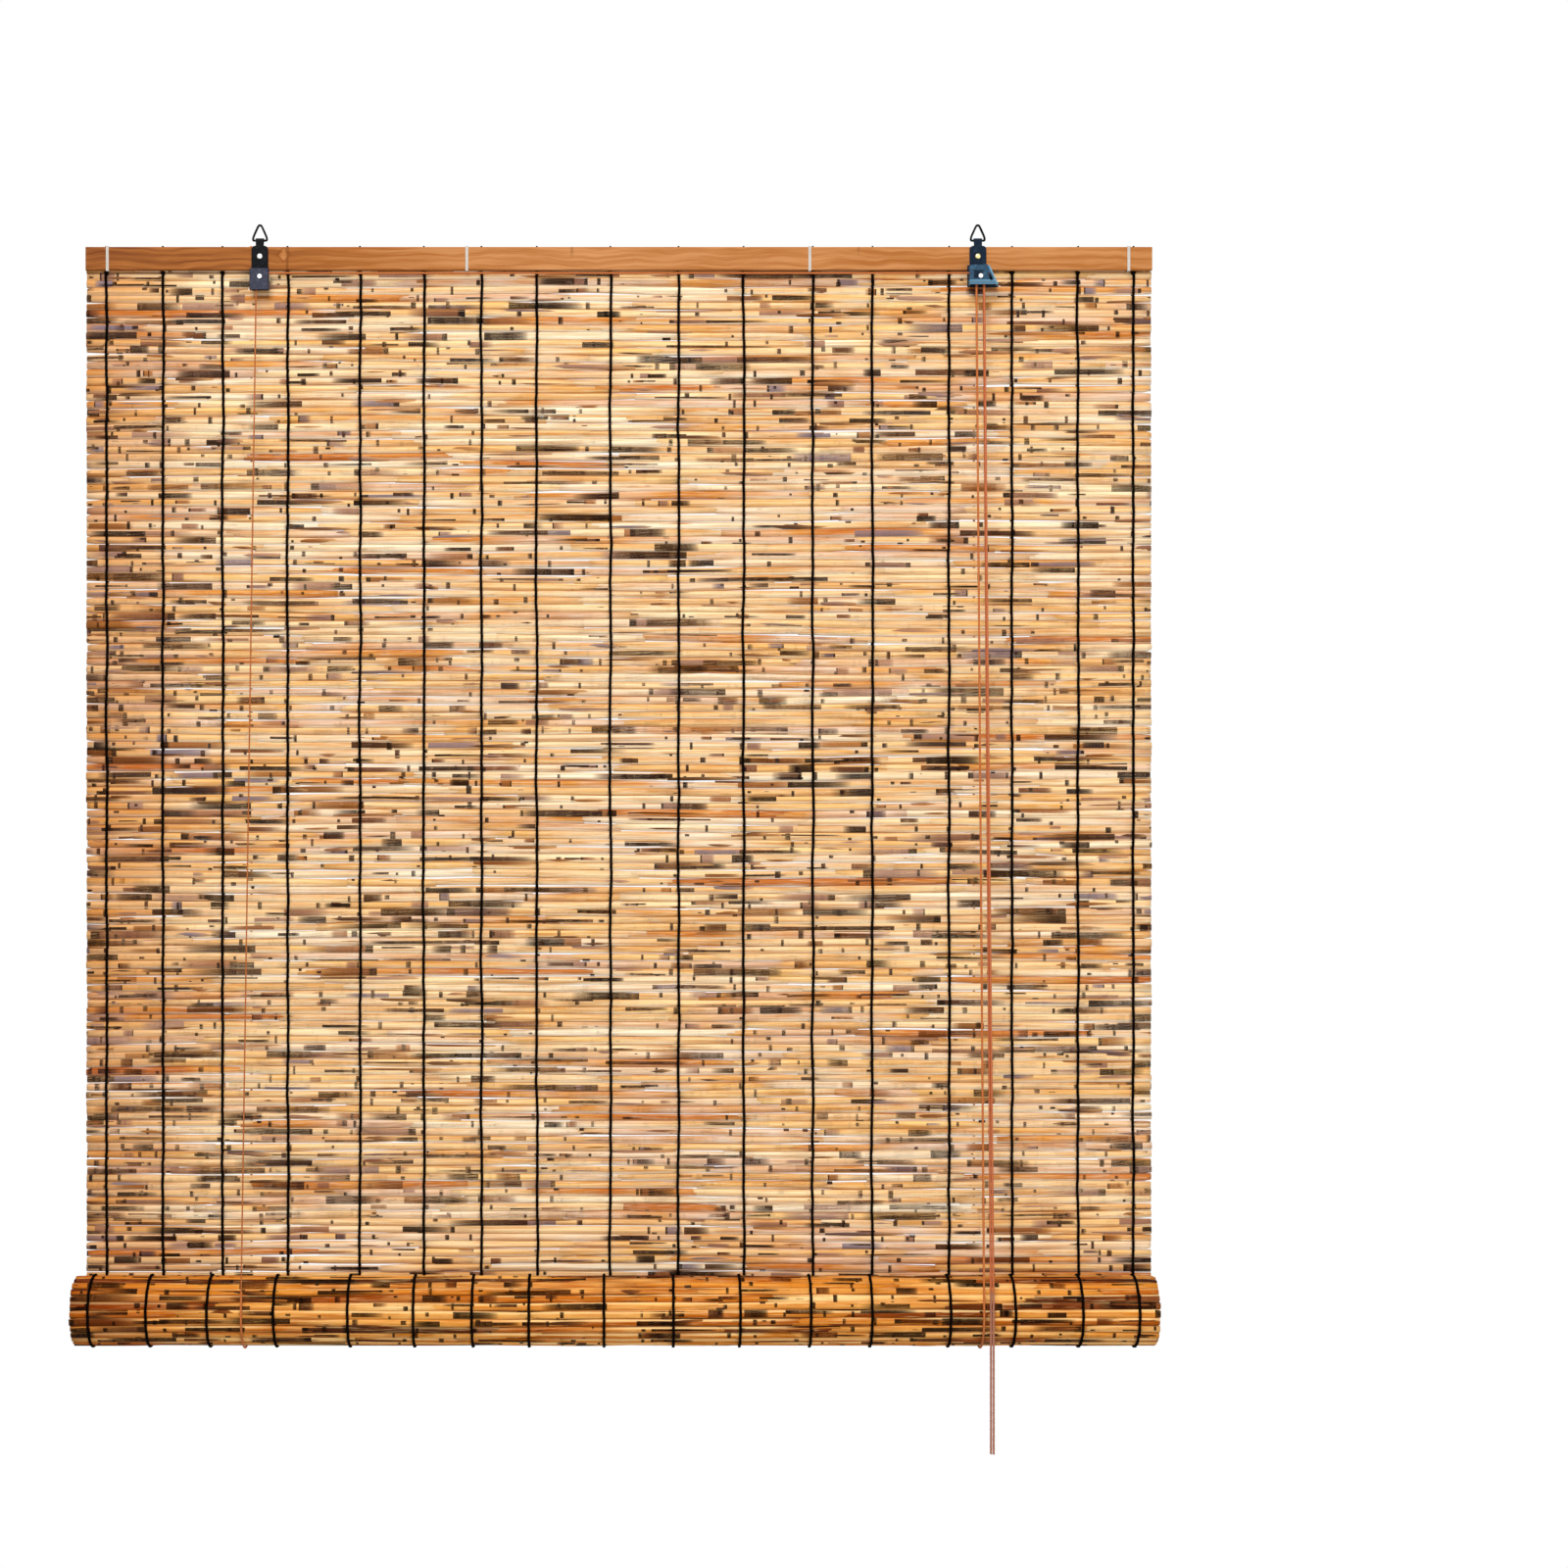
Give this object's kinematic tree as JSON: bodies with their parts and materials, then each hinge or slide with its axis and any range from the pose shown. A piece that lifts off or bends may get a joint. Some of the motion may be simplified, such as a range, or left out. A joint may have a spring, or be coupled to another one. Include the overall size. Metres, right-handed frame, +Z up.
{
  "type": "reed roller blind",
  "caption": "Roll-up reed blind: stitched reed mat on a bamboo head rail, its foot wound into a roll held in cord slings, with hanging rings, a pulley and a cord lock.",
  "frame": {"origin": "midway between the two hanging rings, at the inside top of their wire, where the hooks bear", "axes": "+X to the right seen from the room, +Y from the room towards the window, +Z up"},
  "size_m": [1.0037, 0.0775, 1.1373],
  "materials": {
    "bamboo": "satin",
    "reed": "satin",
    "rolled_reed": "satin",
    "twine": "matte",
    "cord": "matte",
    "white_tape": "matte",
    "black_metal": "gloss",
    "grey_metal": "gloss",
    "blue_grey_metal": "gloss",
    "nickel": "polished",
    "white_plastic": "matte"
  },
  "bodies": {
    "head_rail": {"front_lath": "bamboo", "rear_lath": "bamboo", "lath_ties": "white_tape", "left_hanger_plate": "black_metal", "right_hanger_plate": "black_metal", "pulley_housing": "grey_metal", "axle_rivets": "nickel", "lock_cover": "blue_grey_metal", "reed_mat": "reed", "mat_twine": "twine", "left_front_cord": "cord", "left_rear_cord": "cord", "right_front_cord": "cord", "right_rear_cord": "cord", "head_cords": "cord", "left_pull_cord_upper": "cord", "right_pull_cord_upper": "cord", "cord_knots": "cord"},
    "left_ring": {"left_hanger_ring": "black_metal"},
    "right_ring": {"right_hanger_ring": "black_metal"},
    "left_wheel": {"pulley_wheel": "white_plastic"},
    "roller": {"lock_roller": "nickel"},
    "barrel": {"lock_barrel": "nickel"},
    "slings": {"roll_slings": "cord", "left_pull_cord_lower": "cord", "right_pull_cord_lower": "cord"},
    "roll": {"mat_roll": "rolled_reed", "bottom_batten": "bamboo"}
  },
  "joints": [
    {"name": "roll_lift", "type": "slide", "parent": "head_rail", "child": "slings", "axis": [0, 0, 1], "range_m": [0, 0.9], "deforming": ["reed_mat", "mat_twine", "left_front_cord", "left_rear_cord", "right_front_cord", "right_rear_cord", "left_pull_cord_upper", "right_pull_cord_upper"]},
    {"name": "roll_turn", "type": "hinge", "parent": "slings", "child": "roll", "pos_m": [0, -0.02485, -1.00968], "axis": [1, 0, 0], "range_deg": [-1080, 0]},
    {"name": "wheel_spin", "type": "hinge", "parent": "head_rail", "child": "left_wheel", "pos_m": [-0.3358, -0.00445, -0.048], "axis": [0, 1, 0], "continuous": true},
    {"name": "roller_spin", "type": "hinge", "parent": "head_rail", "child": "roller", "pos_m": [0.33795, -0.00595, -0.048], "axis": [0, 1, 0], "continuous": true},
    {"name": "barrel_slide", "type": "slide", "parent": "head_rail", "child": "barrel", "axis": [0.4071, 0, -0.9134], "range_m": [0, 0.006]},
    {"name": "left_ring_swing", "type": "hinge", "parent": "head_rail", "child": "left_ring", "pos_m": [-0.3365, 0, -0.013], "axis": [1, 0, 0], "range_deg": [-90, 90]},
    {"name": "right_ring_swing", "type": "hinge", "parent": "head_rail", "child": "right_ring", "pos_m": [0.3365, 0, -0.013], "axis": [1, 0, 0], "range_deg": [-90, 90]}
  ],
  "couplings": [
    {"joint": "roll_turn", "follows": "roll_lift", "rad_per_m": -20.944},
    {"joint": "wheel_spin", "follows": "roll_lift", "rad_per_m": 555.56},
    {"joint": "roller_spin", "follows": "roll_lift", "rad_per_m": 555.56}
  ]
}
